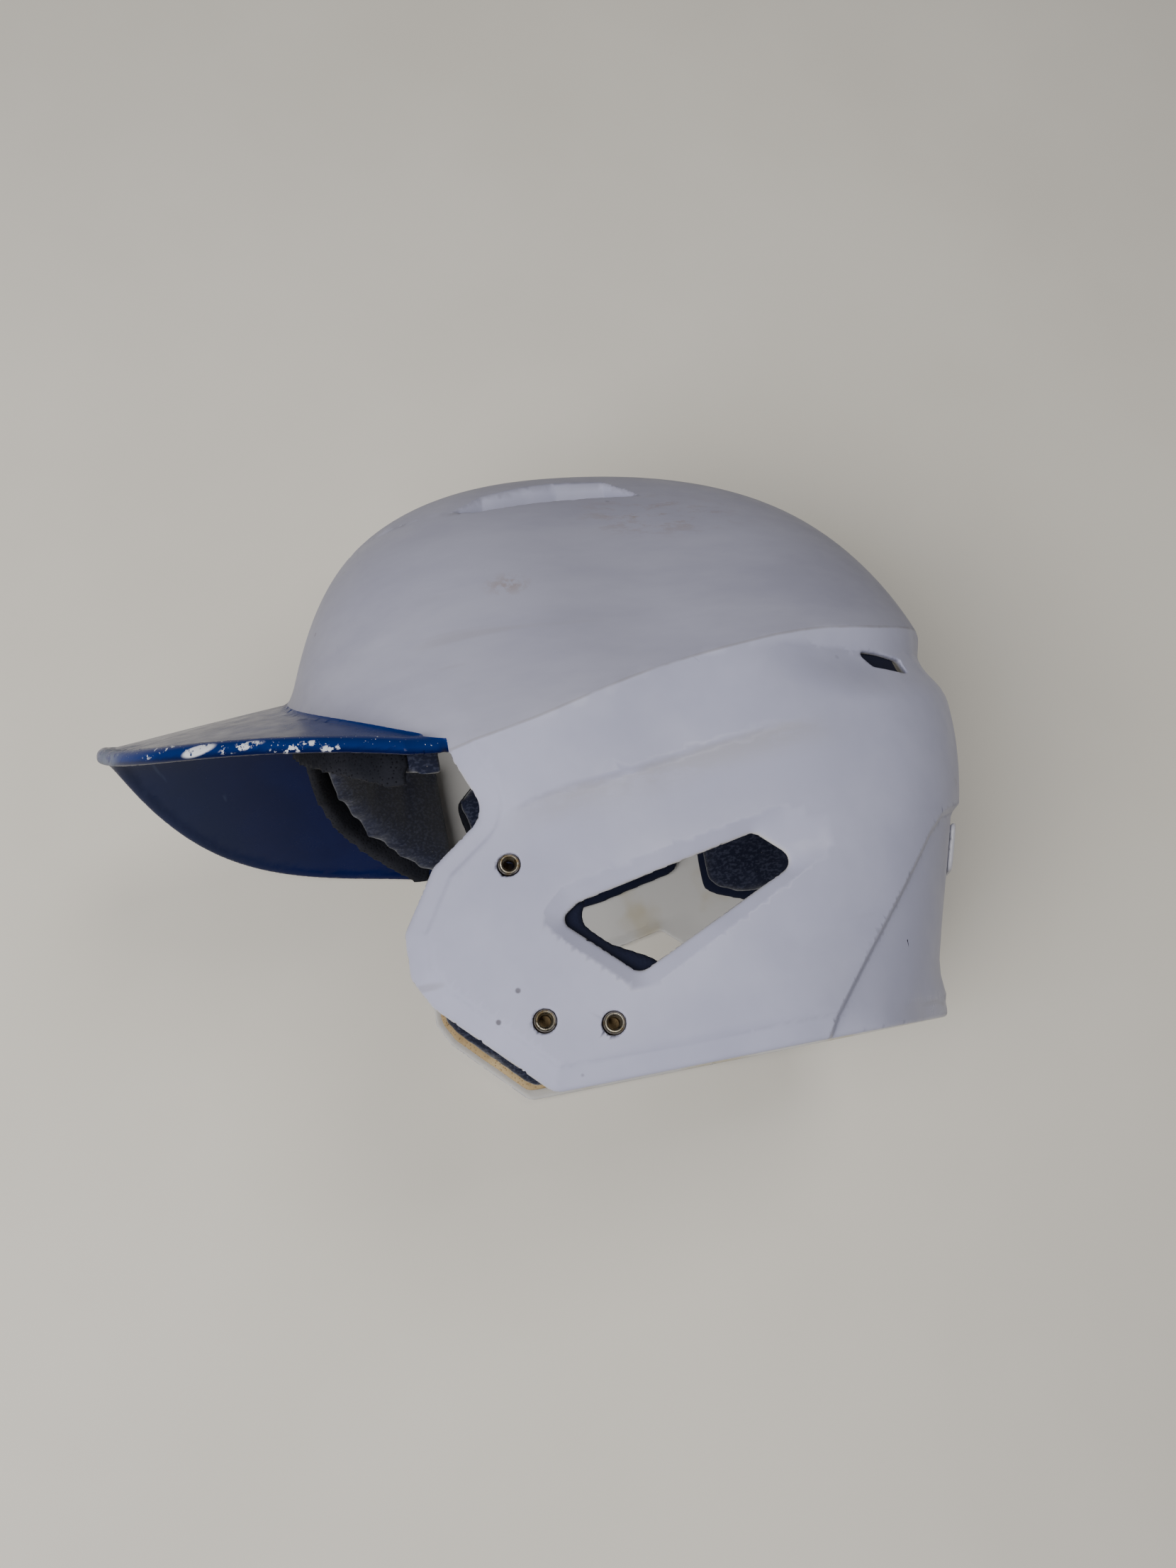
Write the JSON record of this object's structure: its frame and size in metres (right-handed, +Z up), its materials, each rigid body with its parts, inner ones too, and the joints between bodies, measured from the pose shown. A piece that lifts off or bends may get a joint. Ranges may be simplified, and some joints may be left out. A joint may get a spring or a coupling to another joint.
{
  "type": "batting helmet",
  "caption": "Double-flap batting helmet: moulded shell with visor, ear holes, vents, threaded flap inserts and a padded liner.",
  "frame": {"origin": "middle of the outline on the surface that the helmet's lower rim stands on", "axes": "+Z up, -Y forward along the visor, +X to the wearer's left; the helmet is symmetric about X = 0"},
  "size_m": [0.1956, 0.2975, 0.221],
  "materials": {
    "shell_plastic": "matte white moulding, visor painted gloss blue",
    "badge_plastic": "semi-gloss, blank",
    "nut_steel": "worn plated steel",
    "base_foam": "dark closed-cell foam",
    "jaw_foam": "tan closed-cell foam",
    "comfort_fabric": "dark navy covered foam"
  },
  "bodies": {
    "root": {"brow_base": "base_foam", "brow_pad": "comfort_fabric", "crown_base": "base_foam", "crown_pad": "comfort_fabric", "jaw_left_base": "jaw_foam", "jaw_left_pad": "comfort_fabric", "jaw_right_base": "jaw_foam", "jaw_right_pad": "comfort_fabric", "nape_base": "base_foam", "nape_pad": "comfort_fabric", "rear_badge": "badge_plastic", "rear_left_base": "base_foam", "rear_left_pad": "comfort_fabric", "rear_right_base": "base_foam", "rear_right_pad": "comfort_fabric", "shell": "shell_plastic", "t_nut_left_front": "nut_steel", "t_nut_left_low": "nut_steel", "t_nut_left_rear": "nut_steel", "t_nut_right_front": "nut_steel", "t_nut_right_low": "nut_steel", "t_nut_right_rear": "nut_steel", "temple_left_base": "base_foam", "temple_left_pad": "comfort_fabric", "temple_right_base": "base_foam", "temple_right_pad": "comfort_fabric"}
  },
  "joints": []
}
